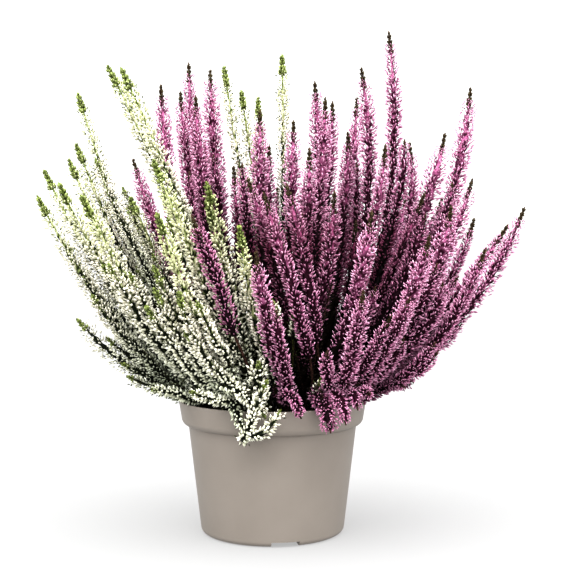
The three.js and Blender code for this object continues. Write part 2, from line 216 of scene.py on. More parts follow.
def growth_colour(tree, along_stops, tint_stops, rise_and_shade_stops, painted_shade_stops):
    """A colour that changes from a bud's or leaf's root to its tip, whose dark root is partly painted
    shade, then varies from one to the next, partly at random and partly as painted shade on buds
    near their stem, and gets painted shade towards the foot of a spray and the bush's middle."""
    along = add_node(tree, "ShaderNodeAttribute", attribute_name="along").outputs["Fac"]
    colour = add_node(tree, "ShaderNodeValToRGB", {"Fac": along}, stops=along_stops).outputs["Color"]
    for attribute, stops in (("tint", tint_stops), ("rise", rise_and_shade_stops), ("open", painted_shade_stops)):
        colour = shaded_by(tree, colour, attribute, stops)
    return colour


# ------------------------------------------------------------------ materials


def moulded_polypropylene():
    """Injection-moulded polypropylene: an even taupe with a faint cloudiness from the flow of the
    plastic and a satin grain from the mould. The real grain is about 0.1 mm, too fine to show, so
    it is drawn over five times as coarse."""
    material, tree, surface = new_material("moulded_polypropylene")
    place = add_node(tree, "ShaderNodeTexCoord").outputs["Object"]
    cloud = add_node(
        tree, "ShaderNodeTexNoise", {"Vector": place, "Scale": noise_scale(28.6), "Detail": 4.0}
    )
    colour = add_node(
        tree,
        "ShaderNodeValToRGB",
        {"Fac": cloud.outputs["Fac"]},
        stops=[(0.3, "#8b847d"), (0.7, "#8f8881")],
    )
    grain = add_node(
        tree, "ShaderNodeTexNoise", {"Vector": place, "Scale": noise_scale(0.556), "Detail": 2.0}
    )
    relief = add_node(
        tree, "ShaderNodeBump", {"Height": grain.outputs["Fac"], "Strength": 0.12, "Distance": 0.1 * MM}
    )
    tree.links.new(colour.outputs["Color"], surface.inputs["Base Color"])
    tree.links.new(relief.outputs["Normal"], surface.inputs["Normal"])
    surface.inputs["Roughness"].default_value = 0.45
    surface.inputs["IOR"].default_value = 1.49
    return material


def moist_peat():
    """Moist peat: nearly black brown crumbs of 2 to 3 mm with paler fibres."""
    material, tree, surface = new_material("moist_peat")
    place = add_node(tree, "ShaderNodeTexCoord").outputs["Object"]
    crumb = add_node(
        tree, "ShaderNodeTexNoise", {"Vector": place, "Scale": noise_scale(2.38), "Detail": 6.0}
    )
    colour = add_node(
        tree,
        "ShaderNodeValToRGB",
        {"Fac": crumb.outputs["Fac"]},
        stops=[(0.3, "#120c08"), (0.55, "#2b1f16"), (0.8, "#4b3726")],
    )
    relief = add_node(
        tree, "ShaderNodeBump", {"Height": crumb.outputs["Fac"], "Strength": 0.8, "Distance": 0.6 * MM}
    )
    tree.links.new(colour.outputs["Color"], surface.inputs["Base Color"])
    tree.links.new(relief.outputs["Normal"], surface.inputs["Normal"])
    surface.inputs["Roughness"].default_value = 0.92
    return material


def papery_bud(name, along_stops, tint_stops, rise_and_shade_stops, painted_shade_stops):
    """A heather bud's dry, papery sepals: dull, darker at the root and paler at the tip. The nearly
    black root is partly painted shade between the buds, and painted shade also darkens buds near
    their stem, low on a spray and deep in the bush.
    """
    material, tree, surface = new_material(name)
    colour = growth_colour(tree, along_stops, tint_stops, rise_and_shade_stops, painted_shade_stops)
    tree.links.new(colour, surface.inputs["Base Color"])
    surface.inputs["Roughness"].default_value = 0.62
    surface.inputs["Specular IOR Level"].default_value = 0.15
    return material


def scale_leaf(name, along_stops, tint_stops, rise_and_shade_stops):
    """Tiny leathery scale leaves: slightly glossy, greener towards the growing tip, and darkened by
    painted shade low on a spray and deep in the bush.
    """
    material, tree, surface = new_material(name)
    colour = growth_colour(tree, along_stops, tint_stops, rise_and_shade_stops, DEEP_SHADE)
    tree.links.new(colour, surface.inputs["Base Color"])
    surface.inputs["Roughness"].default_value = 0.5
    surface.inputs["Specular IOR Level"].default_value = 0.25
    return material


def woody_stem(name, rise_and_shade_stops):
    """A thin woody stem: flaky bark at the foot and soft new growth at the top, following the painted
    shading of its spray, and darkened by painted shade deep in the bush. The real flakes are about
    0.5 mm, and are drawn twice as coarse to show."""
    material, tree, surface = new_material(name)
    rise = add_node(tree, "ShaderNodeAttribute", attribute_name="rise")
    colour = add_node(tree, "ShaderNodeValToRGB", {"Fac": rise.outputs["Fac"]}, stops=rise_and_shade_stops)
    place = add_node(tree, "ShaderNodeTexCoord").outputs["Object"]
    flakes = add_node(
        tree, "ShaderNodeTexNoise", {"Vector": place, "Scale": noise_scale(1.11), "Detail": 3.0}
    )
    shade = add_node(
        tree,
        "ShaderNodeValToRGB",
        {"Fac": flakes.outputs["Fac"]},
        stops=[(0.35, "#6e6259"), (0.65, "#ffffff")],
    )
    flaky = add_node(
        tree,
        "ShaderNodeMix",
        {MIX_FACTOR: 1.0, MIX_A: colour.outputs["Color"], MIX_B: shade.outputs["Color"]},
        data_type="RGBA",
        blend_type="MULTIPLY",
    )
    # painted shade, deepest in the bush's middle
    finished = shaded_by(tree, flaky.outputs[MIX_RESULT], "open", DEEP_SHADE)
    tree.links.new(finished, surface.inputs["Base Color"])
    surface.inputs["Roughness"].default_value = 0.7
    surface.inputs["Specular IOR Level"].default_value = 0.15
    return material


def dead_needles_and_painted_shade():
    """Dead needles on old inner twigs: dull, with no gloss at all, and nearly black brown, partly their
    own colour and partly painted shade.
    """
    material, _, surface = new_material("dead_needles_and_painted_shade")
    surface.inputs["Base Color"].default_value = linear("#16110d")
    surface.inputs["Roughness"].default_value = 0.95
    surface.inputs["Specular IOR Level"].default_value = 0.05
    return material


# ------------------------------------------------------------------ stage


def light_table():
    """A plain table top of frosted acrylic, softly lit from below: pale, with a faint soft shadow."""
    half = TABLE_HALF_WIDTH
    mesh = bpy.data.meshes.new("table_top")
    corners = [(-half, -half, 0), (half, -half, 0), (half, half, 0), (-half, half, 0)]
    mesh.from_pydata(corners, [], [(0, 1, 2, 3)])
    table = bpy.data.objects.new("table_top", mesh)
    table.location.z = -TABLE_GAP
    bpy.context.scene.collection.objects.link(table)
    material, _, surface = new_material("lit_frosted_acrylic")
    surface.inputs["Base Color"].default_value = linear("#707070")
    surface.inputs["Emission Color"].default_value = linear("#ffffff")
    surface.inputs["Emission Strength"].default_value = TABLE_GLOW
    surface.inputs["Roughness"].default_value = 0.9
    surface.inputs["Specular IOR Level"].default_value = 0.1
    mesh.materials.append(material)


def soft_sun(name, strength, spread, elevation, azimuth):
    """A wide, even studio light from far off. Its angles are in degrees. Azimuth 0 is the front,
    and it grows to the right."""
    lamp = bpy.data.lights.new(name, "SUN")
    lamp.energy = strength
    lamp.angle = math.radians(spread)
    light = bpy.data.objects.new(name, lamp)
    light.rotation_euler = (math.radians(90 - elevation), 0, math.radians(azimuth))
    bpy.context.scene.collection.objects.link(light)


def white_surroundings():
    """White walls all round, which also light the plant evenly from every side."""
    world = bpy.data.worlds.new("studio")
    world.use_nodes = True
    bpy.context.scene.world = world
    tree = world.node_tree
    tree.nodes.clear()
    walls = add_node(tree, "ShaderNodeBackground", {"Color": linear("#ffffff"), "Strength": 1.0})
    add_node(tree, "ShaderNodeOutputWorld", {"Surface": walls.outputs["Background"]})


def studio_view():
    """The crisp contrast of a studio print."""
    view = bpy.context.scene.view_settings
    view.view_transform = "Standard"
    view.exposure = EXPOSURE
    view.gamma = GAMMA


def camera():
    """A camera in front of the plant, a little above its middle and tilted slightly down."""
    lens = bpy.data.cameras.new("camera")
    lens.sensor_width = SENSOR_WIDTH
    lens.lens = SENSOR_WIDTH * FOCAL_PIXELS / IMAGE_WIDTH
    lens.clip_end = VIEW_END
    eye = bpy.data.objects.new("camera", lens)
    eye.location = CAMERA_PLACE
    eye.rotation_euler = (math.pi / 2 + CAMERA_TILT, 0, 0)
    bpy.context.scene.collection.objects.link(eye)
    bpy.context.scene.camera = eye


# ------------------------------------------------------------------ meshes


def new_piece(name, points, faces, materials, slot, replaced=()):
    """A smooth-shaded mesh that rides on the pot and stands for the named solids."""
    mesh = bpy.data.meshes.new(name)
    mesh.from_pydata(points, [], faces)
    mesh.shade_smooth()
    for material in materials:
        mesh.materials.append(material)
    piece = bpy.data.objects.new(name, mesh)
    bpy.context.scene.collection.objects.link(piece)
    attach(piece, "root")
    if replaced:
        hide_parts(*replaced)
    return piece


def arc(centre_radius, centre_height, radius, start, end, steps):
    """Radius and height of points on an arc between two angles in degrees."""
    angles = np.radians(np.linspace(start, end, steps + 1))
    across = centre_radius + radius * np.cos(angles)
    return list(zip(across, centre_height + radius * np.sin(angles)))


def turned(outline, sides):
    """The points and faces of an outline in millimetres, from the axis back to the axis, turned
    about +Z."""
    inner = outline[1:-1]
    points = [(0, 0, outline[0][1] * MM)]
    for side in range(sides):
        turn = 2 * math.pi * side / sides
        points += [(r * MM * math.cos(turn), r * MM * math.sin(turn), z * MM) for r, z in inner]
    points.append((0, 0, outline[-1][1] * MM))
    faces = []
    for side in range(sides):
        here = 1 + side * len(inner)
        there = 1 + (side + 1) % sides * len(inner)
        faces.append((0, there, here))
        faces += [(here + i, there + i, there + i + 1, here + i + 1) for i in range(len(inner) - 1)]
        faces.append((here + len(inner) - 1, there + len(inner) - 1, len(points) - 1))
    return points, faces


# ------------------------------------------------------------------ pot


def shoulder(inset):
    """The rounded step under the rim band."""
    steps = 10
    stops = []
    for i in range(steps + 1):
        along = i / steps
        out = math.sqrt(1 - (1 - along) ** 2)
        radius = BODY_TOP_RADIUS + (BAND_FOOT_RADIUS - BODY_TOP_RADIUS) * out - inset
        stops.append((radius, SHOULDER_FOOT + SHOULDER_HEIGHT * along + inset * (1 - along)))
    return stops


def pot_outline():
    """The pot's section, from the middle of its base round the rim to the middle of its floor."""
    outside = [
        (0, 0),
        *arc(BASE_RADIUS - BASE_EDGE_ROUND, BASE_EDGE_ROUND, BASE_EDGE_ROUND, -90, -6, 8),
        *arc(BODY_TOP_RADIUS, SHOULDER_FOOT, BEAD_ROUND, -80, 50, 6),
        *shoulder(0)[1:],
        *arc(RIM_RADIUS - LIP_ROUND, POT_HEIGHT - LIP_ROUND, LIP_ROUND, 0, 180, 8),
    ]
    floor = CHANNEL_HEIGHT + WALL
    inside = [
        *reversed(shoulder(WALL)),
        (BASE_RADIUS - WALL, floor + WALL),
        (BASE_RADIUS - 2 * WALL, floor),
        (0, floor),
    ]
    return [*outside, *inside]


def cutter(points, faces):
    """A solid that is there only to be cut away from the pot."""
    mesh = bpy.data.meshes.new("cutter")
    mesh.from_pydata(points, [], faces)
    tool = bpy.data.objects.new("cutter", mesh)
    bpy.context.scene.collection.objects.link(tool)
    return tool


def channel_cutter(angle):
    """A block over one drain channel, out past the base edge."""
    points = []
    for radial in (CHANNEL_INNER_END, RIM_RADIUS):
        for across in (-CHANNEL_WIDTH / 2, CHANNEL_WIDTH / 2):
            for height in (-CHANNEL_HEIGHT, CHANNEL_HEIGHT):
                points.append((radial * MM, across * MM, height * MM))
    faces = [(0, 1, 3, 2), (4, 6, 7, 5), (0, 4, 5, 1), (2, 3, 7, 6), (0, 2, 6, 4), (1, 5, 7, 3)]
    tool = cutter(points, faces)
    tool.rotation_euler.z = math.radians(angle)
    return tool


def hole_cutter(angle):
    """A round bar through the pot's floor at one drain hole."""
    depth = CHANNEL_HEIGHT + 2 * WALL
    outline = [(0, -depth), (DRAIN_HOLE_RADIUS, -depth), (DRAIN_HOLE_RADIUS, depth), (0, depth)]
    tool = cutter(*turned(outline, 32))
    turn = math.radians(angle)
    distance = DRAIN_HOLE_DISTANCE * MM
    tool.location = (distance * math.cos(turn), distance * math.sin(turn), 0)
    return tool


def moulded_pot(material):
    """The pot in one thin shell, with its drain channels and holes cut out."""
    pot = new_piece(
        "moulded_pot", *turned(pot_outline(), POT_SIDES), [material], "pot_plastic", ["pot"]
    )
    tools = [make(angle) for angle in CHANNEL_ANGLES for make in (channel_cutter, hole_cutter)]
    for tool in tools:
        cut = pot.modifiers.new("drain", "BOOLEAN")
        cut.object = tool
        cut.solver = "EXACT"
    bpy.context.view_layer.update()
    graph = bpy.context.evaluated_depsgraph_get()
    pot.data = bpy.data.meshes.new_from_object(pot.evaluated_get(graph))
    pot.modifiers.clear()
    for tool in tools:
        bpy.data.objects.remove(tool)
    pot.data.shade_smooth()
    pot.data.set_sharp_from_angle(angle=math.radians(SHARP_EDGE))


# ------------------------------------------------------------------ peat


def peat_height(x, y):
    """The crumbly top of the peat, in millimetres."""
    from_axis = math.hypot(x, y) / BODY_TOP_RADIUS
    lumps = noise.fractal(Vector((x, y, 3.0)) / LUMP_SIZE, 0.8, 2.1, 4)
    return PEAT_TOP + PEAT_CROWN * (1 - from_axis**2) + LUMP_HEIGHT * lumps


def peat(material):
    """The root ball, with a crumbly top and plain sides that follow the inside of the pot."""
    top_rings, sectors = 24, 90
    rows = [(PEAT_RADIUS * ring / top_rings, None) for ring in range(1, top_rings + 1)]
    rows.append((PEAT_RADIUS, SHOULDER_FOOT + SHOULDER_HEIGHT))
    rows.append((BODY_TOP_RADIUS - WALL - PEAT_GAP, SHOULDER_FOOT + WALL))
    rows.append((BASE_RADIUS - WALL - PEAT_GAP, PEAT_FLOOR))
    points = [(0, 0, peat_height(0, 0) * MM)]
    for radius, height in rows:
        for sector in range(sectors):
            turn = 2 * math.pi * sector / sectors
            x, y = radius * math.cos(turn), radius * math.sin(turn)
            points.append((x * MM, y * MM, (height or peat_height(x, y)) * MM))
    faces = [(0, 1 + s, 1 + (s + 1) % sectors) for s in range(sectors)]
    for here in range(1, len(points) - sectors, sectors):
        for sector in range(sectors):
            after = (sector + 1) % sectors
            faces.append((here + sector, here + sectors + sector, here + sectors + after, here + after))
    faces.append(tuple(reversed(range(len(points) - sectors, len(points)))))
    new_piece("peat", points, faces, [material], "peat", ["soil"])


def peat_crumbs(material, rng):
    """Loose crumbs of all sizes, half sunk into the top of the peat."""
    crumbs = Bunch()
    count = CRUMB_COUNT
    radius = (PEAT_RADIUS - CRUMB_MARGIN) * np.sqrt(rng.random(count))
    turn = 2 * np.pi * rng.random(count)
    x, y = radius * np.cos(turn), radius * np.sin(turn)
    z = np.array([peat_height(*place) for place in zip(x, y)])
    size = rng.uniform(*CRUMB_LENGTHS, count)
    roots = np.column_stack([x, y, z - 0.45 * size])
    ways = unit(rng.normal(0, 1, (count, 3)) * (1, 1, 0.4) + (0, 0, 1))
    level = np.zeros(count)
    crumbs.add(CRUMB, roots, ways, size, 0.55 * size, rng.random(count), level, ONLY_FINISH)
    crumbs.piece("peat_crumbs", [material], "peat")


# ------------------------------------------------------------------ small forms in bunches

BUD_FINISH, LEAF_FINISH, STEM_FINISH = 0, 1, 2  # where they are in a plant's list of materials
ONLY_FINISH = 0


def unit(vectors):
    """The same directions with a length of 1."""
    return vectors / np.linalg.norm(vectors, axis=-1, keepdims=True)


def smooth(share):
    """A soft step from 0 to 1."""
    share = np.clip(share, 0, 1)
    return share * share * (3 - 2 * share)


def spindle(sides, rings):
    """A closed form from a root point at height 0 to a tip at height 1, by way of rings that are
    given by height and radius. Returns its points and its triangles."""
    points = [(0.0, 0.0, 0.0)]
    for height, radius in rings:
        turns = [2 * math.pi * side / sides for side in range(sides)]
        points += [(radius * math.cos(turn), radius * math.sin(turn), height) for turn in turns]
    points.append((0.0, 0.0, 1.0))
    faces = []
    last = 1 + (len(rings) - 1) * sides
    for side in range(sides):
        after = (side + 1) % sides
        faces.append((0, 1 + after, 1 + side))
        for low in range(1, last, sides):
            high = low + sides
            faces.append((low + side, low + after, high + after))
            faces.append((low + side, high + after, high + side))
        faces.append((last + side, last + after, len(points) - 1))
    return np.array(points), np.array(faces)


FULL_BUD = spindle(4, [(0.56, 1.0)])  # four sepals that taper to a stalk and a point
SLIM_BUD = spindle(3, [(0.6, 1.0)])  # for the pink plant and the back of the white one
LEAF = spindle(3, [(0.4, 1.0)])  # a keeled scale leaf, widest below its middle
CRUMB = spindle(5, [(0.25, 0.9), (0.7, 0.8)])


def openness(points):
    """How open to the light places in the bush are: 0 deep in its middle, 1 at its outside. It sets
    the painted shade in the colours, and thins out buds deep inside.
    """
    x, y, z = points.T
    height = z - PEAT_TOP
    half_width = 50 + 0.6 * height
    half_depth = 48 + 0.34 * height
    outward = np.hypot((x - BUSH_MIDDLE) / half_width, y / half_depth)
    from_the_side = smooth((outward - 0.42) / 0.45)
    from_above = smooth((height - 60) / 115)
    return np.maximum(from_the_side, from_above)


class Bunch:
    """Gathers small forms and stems, placed in millimetres, into one mesh."""

    def __init__(self):
        self.points, self.faces, self.finishes = [], [], []
        self.along, self.tint, self.rise, self.open = [], [], [], []
        self.count = 0

    def gather(self, points, faces, finish, along, tint, rise):
        """Takes in one part: its points, its triangles and what shades each point."""
        self.points.append(points)
        self.faces.append(faces + self.count)
        self.finishes.append(np.full(len(faces), finish))
        self.along.append(along)
        self.tint.append(tint)
        self.rise.append(rise)
        # how open each point is, which sets the painted shade of its colour
        self.open.append(openness(points))
        self.count += len(points)

    def add(self, form, roots, ways, lengths, widths, tints, rises, finish):
        """One copy of a form for each root, pointing the way given, with its own size, roll, tint and
        height on the spray. The dark base of a form, partly painted shade, is shorter the higher it
        sits."""
        shape, triangles = form
        copies, corners = len(roots), len(shape)
        across = unit(np.cross(ways, (0.36, 0.48, 0.8)))
        roll = 2 * np.pi * tints[:, None] * 7
        first = np.cos(roll) * across + np.sin(roll) * np.cross(ways, across)
        second = np.cross(ways, first)
        spread = shape[None, :, 0:1] * first[:, None] + shape[None, :, 1:2] * second[:, None]
        climb = shape[None, :, 2:3] * (ways * lengths[:, None])[:, None]
        placed = roots[:, None] + climb + spread * widths[:, None, None]
        offsets = (np.arange(copies) * corners)[:, None, None]
        grown = 0.36 * rises[:, None]
        self.gather(
            placed.reshape(-1, 3),
            (triangles[None] + offsets).reshape(-1, 3),
            finish,
            (grown + (1 - grown) * shape[None, :, 2]).ravel(),
            np.repeat(tints, corners),
            np.repeat(rises, corners),
        )

    def tube(self, path, places, radii, alongs, rises, finish):
        """A closed tube along a path. The radii hold one row for each place and one column for
        each side."""
        count, sides = radii.shape
        turns = 2 * np.pi * np.arange(sides) / sides
        first, second = path.sides_at(places)
        cosines = np.cos(turns)[None, :, None]
        sines = np.sin(turns)[None, :, None]
        ring = cosines * first[:, None] + sines * second[:, None]
        points = path.at(places)[:, None] + radii[:, :, None] * ring
        faces = []
        for low in range(0, (count - 1) * sides, sides):
            for side in range(sides):
                after = (side + 1) % sides
                high = low + sides
                faces.append((low + side, low + after, high + after))
                faces.append((low + side, high + after, high + side))
        top = (count - 1) * sides
        faces += [(0, side + 1, side) for side in range(1, sides - 1)]
        faces += [(top, top + side, top + side + 1) for side in range(1, sides - 1)]
        level = np.repeat(rises, sides)
        tint = np.full(len(level), 0.5)
        self.gather(points.reshape(-1, 3), np.array(faces), finish, alongs.ravel(), tint, level)

    def stem(self, path, radii, sides, rises):
        """A round stem along a path. The radii and rises are those at its two ends."""
        share = path.travelled / path.length
        radius = np.interp(share, (0, 1), radii)
        every_side = np.repeat(radius[:, None], sides, axis=1)
        level = np.interp(share, (0, 1), rises)
        self.tube(path, path.travelled, every_side, np.zeros(every_side.shape), level, STEM_FINISH)

    def piece(self, name, materials, slot, replaced=()):
        """Makes all that was gathered into one piece, with the values that shade each point."""
        points = np.concatenate(self.points) * MM
        faces = np.concatenate(self.faces)
        piece = new_piece(name, points.tolist(), faces.tolist(), materials, slot, replaced)
        piece.data.polygons.foreach_set("material_index", np.concatenate(self.finishes))
        for attribute in ("along", "tint", "rise", "open"):
            values = np.concatenate(getattr(self, attribute)).astype(np.float32)
            layer = piece.data.attributes.new(attribute, "FLOAT", "POINT")
            layer.data.foreach_set("value", values)


class Path:
    """A line through points in millimetres, with places and directions by distance along it."""

    def __init__(self, points):
        self.points = points
        steps = np.linalg.norm(np.diff(points, axis=0), axis=1)
        self.travelled = np.concatenate([[0.0], np.cumsum(steps)])
        self.length = self.travelled[-1]
        self.headings = unit(np.gradient(points, axis=0))
        turn = np.cross(points[-1] - points[0], (0.0, 0.0, 1.0))
        self.across = unit(turn + (1e-6, 0, 0))

    def read(self, values, distances):
        """What the values along the path are at these distances."""
        return np.column_stack([np.interp(distances, self.travelled, values[:, i]) for i in range(3)])

    def at(self, distances):
        return self.read(self.points, distances)

    def heading_at(self, distances):
        return unit(self.read(self.headings, distances))

    def sides_at(self, distances):
        """Two directions square to the path and to each other."""
        heading = self.heading_at(distances)
        first = unit(self.across - heading * (heading @ self.across)[:, None])
        return first, np.cross(heading, first)


def curve(start, control, end, count):
    """Points on a curve that leaves its start towards the control point and bends to its end."""
    t = np.linspace(0, 1, count)[:, None]
    return (1 - t) ** 2 * start + 2 * t * (1 - t) * control + t**2 * end


# ------------------------------------------------------------------ stems read from the frame


def fitted_control(cloud, start, end):
    """The control point of the curve from start to end that runs through the middle of a cloud
    of points. Points of a side shoot, which lie further off, are left out round by round."""
    control = (start + end) / 2
    t = np.linspace(0, 1, CURVE_POINTS)
    for reach in np.geomspace(200, SHOOT_CLEARANCE, 24):
        line = curve(start, control, end, CURVE_POINTS)
        gaps = np.linalg.norm(cloud[:, None] - line[None], axis=2)
        nearest = gaps.argmin(axis=1)
        kept = gaps.min(axis=1) < reach
        share = 2 * t[nearest] * (1 - t[nearest]) * kept
        control = control + share @ (cloud - line[nearest]) / (share @ share)
    return control


def stems_of(node):
    """The curves of a spray's stem and of its side shoot, if it has one, as start, control and
    end, and how far its florets reach."""
    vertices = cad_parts[node].data.vertices
    cloud = np.unique(np.round([tuple(vertex.co / MM) for vertex in vertices], 3), axis=0)
    foot = cloud[cloud[:, 2] < cloud[:, 2].min() + 0.5].mean(axis=0)
    start = np.array([foot[0], foot[1], FOOT_HEIGHT])
    cloud = cloud[cloud[:, 2] > PEAT_TOP - STEM_DEPTH / 2]
    end = cloud[np.linalg.norm(cloud - start, axis=1).argmax()]
    control = fitted_control(cloud, start, end)
    main = Path(curve(start, control, end, CURVE_POINTS))
    gaps = np.linalg.norm(cloud[:, None] - main.points[None], axis=2)
    own = gaps.min(axis=1) < SHOOT_CLEARANCE
    middle = np.abs(gaps.argmin(axis=1) - CURVE_POINTS // 2) < CURVE_POINTS // 6
    reach = gaps.min(axis=1)[own & middle].max()
    stems = [(start, control, end)]
    stray = cloud[~own]
    if len(stray) > 4:
        side_start = main.at([SIDE_SHOOT_START])[0]
        side_end = stray[np.linalg.norm(stray - side_start, axis=1).argmax()]
        stems.append((side_start, fitted_control(stray, side_start, side_end), side_end))
    return stems, reach


# ------------------------------------------------------------------ dressing a stem


def swayed(stem, amount, rng):
    """A stem's path with a slight natural sway between its ends."""
    count = 33
    points = curve(*stem, count)
    share = np.linspace(0, 1, count)[:, None]
    for waves in (2, 3, 5):
        push = rng.normal(0, 1, 3) * amount / waves
        points = points + push * np.sin(np.pi * share) * np.sin(np.pi * waves * share)
    return Path(points)


def directions(path, places, turns, leans):
    """The way out from a path at each place, and that way leaned up along the path."""
    first, second = path.sides_at(places)
    out = np.cos(turns)[:, None] * first + np.sin(turns)[:, None] * second
    ways = np.cos(leans)[:, None] * path.heading_at(places) + np.sin(leans)[:, None] * out
    return out, unit(ways)


def bloom_size(share):
    """The size of buds along the bloom, from its bottom at 0 to the leafy tip at 1."""
    return (0.75 + 0.25 * smooth(share / 0.12)) * (1 - 0.5 * smooth((share - 0.84) / 0.16))


def add_core(bunch, path, bare, tip, reach, plant, rng, rises):
    """The inmost florets round a stem, packed into a knobbly sleeve that thins out upwards. Their dark
    colour is painted shade, paler towards the top."""
    sides, pitch = 6, 2.5
    end = path.length - tip * 0.8
    count = max(int((end - bare) / pitch), 3)
    places = np.linspace(bare, end, count)
    share = np.linspace(0, 1, count)
    level = np.interp(places / path.length, (0, 1), rises)
    thinned_out = plant["thinning"] * smooth((share - 0.45) / 0.4)
    size = bloom_size(share) ** 1.5 * (1 - 0.3 * level) * (1 - thinned_out)
    radii = plant["core"] * reach * size[:, None] * rng.uniform(0.4, 1.5, (count, sides))
    # painted shade: the sleeve is darkest low on the spray and paler higher up
    darkest = 0.31 * level[:, None] ** 1.5
    palest = 0.06 + 0.54 * level[:, None] ** 1.5
    alongs = darkest + (palest - darkest) * rng.random((count, sides)) ** 1.3
    bunch.tube(path, places, radii, alongs, level, BUD_FINISH)


def add_buds(bunch, path, bare, tip, reach, per_mm, plant, rng, rises):
    """Buds on short stalks round a stem: more towards the top, fewer on one bare side and deep in
    the bush, and smaller and closer to the stem near the tip. Those further out are paler, partly at
    random and partly as painted shade on the inner ones."""
    bloom = path.length - tip * 0.7 - bare
    count = max(int(bloom * per_mm), 4)
    share = ((np.arange(count) + rng.random(count)) / count) ** 0.8
    turns = np.arange(count) * GOLDEN_ANGLE + rng.normal(0, 0.35, count)
    bare_side = 2 * np.pi * rng.random()
    shaded_off = 0.35 * np.maximum(np.cos(turns - bare_side), 0) ** 3
    thinned_out = plant["thinning"] * smooth((share - 0.45) / 0.4)
    kept = rng.random(count) > 1 - (1 - shaded_off) * (1 - thinned_out)
    share, turns = share[kept], turns[kept]
    count = len(share)
    places = bare + bloom * share
    size = bloom_size(share)
    leans = np.radians(rng.normal(54, 13, count) - 16 * smooth((share - 0.8) / 0.2))
    out, ways = directions(path, places, turns, leans)
    depth = rng.random(count)
    lengths = rng.uniform(*plant["bud_length"], count) * size
    outline = reach * plant["spread"] * (0.45 + 0.55 * size)
    furthest = np.maximum(outline - lengths * np.sin(leans), 0.6)
    roots = path.at(places) + out * (0.5 + (furthest - 0.5) * depth**0.8)[:, None]
    widths = rng.uniform(*plant["bud_radius"], count) * size**0.6
    # partly random tone, partly painted shade: buds close to the stem are darker
    tints = np.clip(0.55 * depth + 0.45 * rng.random(count), 0, 1)
    level = np.interp(places / path.length, (0, 1), rises)
    lit = rng.random(count) < 0.5 + 0.5 * openness(roots)
    each = (roots, ways, lengths, widths, tints, level)
    bunch.add(plant["bud"], *(values[lit] for values in each), BUD_FINISH)


def add_leaves(bunch, path, start, end, per_mm, spread, rng, rises):
    """Scale leaves close to a stem, with some on tiny shoots that stand further out."""
    count = max(int((end - start) * per_mm), 3)
    places = np.sort(rng.uniform(start, end, count))
    turns = np.arange(count) * GOLDEN_ANGLE + rng.normal(0, 0.3, count)
    leans = np.radians(rng.normal(42, 14, count))
    out, ways = directions(path, places, turns, leans)
    roots = path.at(places) + out * (0.4 + spread * rng.random(count))[:, None]
    level = np.interp(places / path.length, (0, 1), rises)
    bunch.add(
        LEAF,
        roots,
        ways,
        rng.uniform(1.9, 3.1, count),
        rng.uniform(0.36, 0.56, count),
        rng.random(count),
        level * 0.75,
        LEAF_FINISH,
    )


def add_leafy_tip(bunch, path, length, thickness, rng):
    """Knobbly tufts of scale leaves up to a spray's tip."""
    count = int(length * 4)
    share = np.linspace(0, 1, count)
    places = path.length - length * (1 - share) - 2.0
    turns = np.arange(count) * math.pi / 2 + share * 1.2 + rng.normal(0, 0.25, count)
    leans = np.radians(52 - 30 * share**3 + rng.normal(0, 8, count))
    out, ways = directions(path, places, turns, leans)
    tuft = 0.5 + 0.5 * np.cos(places * 2 * np.pi / TUFT_PITCH)
    roots = path.at(places) + out * 0.4
    lengths = thickness * (1.6 + 1.3 * tuft) * (1 - 0.3 * share)
    widths = thickness * (0.6 + 0.45 * tuft) * (1 - 0.25 * share)
    bunch.add(LEAF, roots, ways, lengths, widths, rng.random(count), np.ones(count), LEAF_FINISH)


def add_sprig(bunch, path, start, length, plant, rng):
    """A short leafy side sprig with a few buds."""
    turn = 2 * np.pi * rng.random()
    lean = math.radians(rng.uniform(28, 48))
    out, ways = directions(path, np.array([start]), np.array([turn]), np.array([lean]))
    root = path.at([start])[0]
    bend = root + ways[0] * length * 0.5
    end = bend + unit(ways[0] + path.heading_at([start])[0] * 1.2) * length * 0.5
    sprig = Path(curve(root, bend, end, 8))
    level = start / path.length
    bunch.stem(sprig, (0.4, 0.22), 3, (level, level))
    add_leaves(bunch, sprig, 1, sprig.length, plant["sprig_leaves"], 0.8, rng, (level, level))
    reach = FULL_REACH * SPRIG_REACH
    add_buds(bunch, sprig, 2, 4, reach, plant["sprig_buds"], plant, rng, (level, level))


def branch_of(path, bare, rng):
    """The curve of a branch that leaves a stem below its bloom and rises beside it."""
    first = max(rng.uniform(0.10, 0.22), 0.7 * bare / path.length)
    last = rng.uniform(0.5, 0.8)
    sideways = unit(path.across + 0.35 * rng.normal(0, 1, 3)) * rng.choice((-1, 1))
    gap = rng.uniform(9, 15)
    root, tip = path.at(np.array([first, last]) * path.length)
    middle = path.at([(0.45 * first + 0.55 * last) * path.length])[0]
    tip = tip + sideways * gap * 1.2
    bend = middle + sideways * gap * 0.9
    control = 2 * bend - (root + tip) / 2
    return root, control, tip


def dress_stem(bunch, stem, reach, bare, tip, plant, rng, rises):
    """One stem of a spray with all that grows on it."""
    path = swayed(stem, 1.6, rng)
    fullness = plant["buds"] * (0.5 + 0.5 * min(reach / FULL_REACH, 1) ** 2) * rng.uniform(0.9, 1.08)
    bunch.stem(path, (STEM_RADIUS * reach / FULL_REACH, TWIG_RADIUS), 5, rises)
    add_core(bunch, path, bare, tip, reach, plant, rng, rises)
    add_buds(bunch, path, bare, tip, reach, fullness, plant, rng, rises)
    add_leaves(bunch, path, 3, path.length - tip, plant["leaves"], plant["leaf_spread"], rng, rises)
    add_leafy_tip(bunch, path, tip, plant["tip_thickness"] * min(1, 0.4 + tip / 20), rng)
    return path


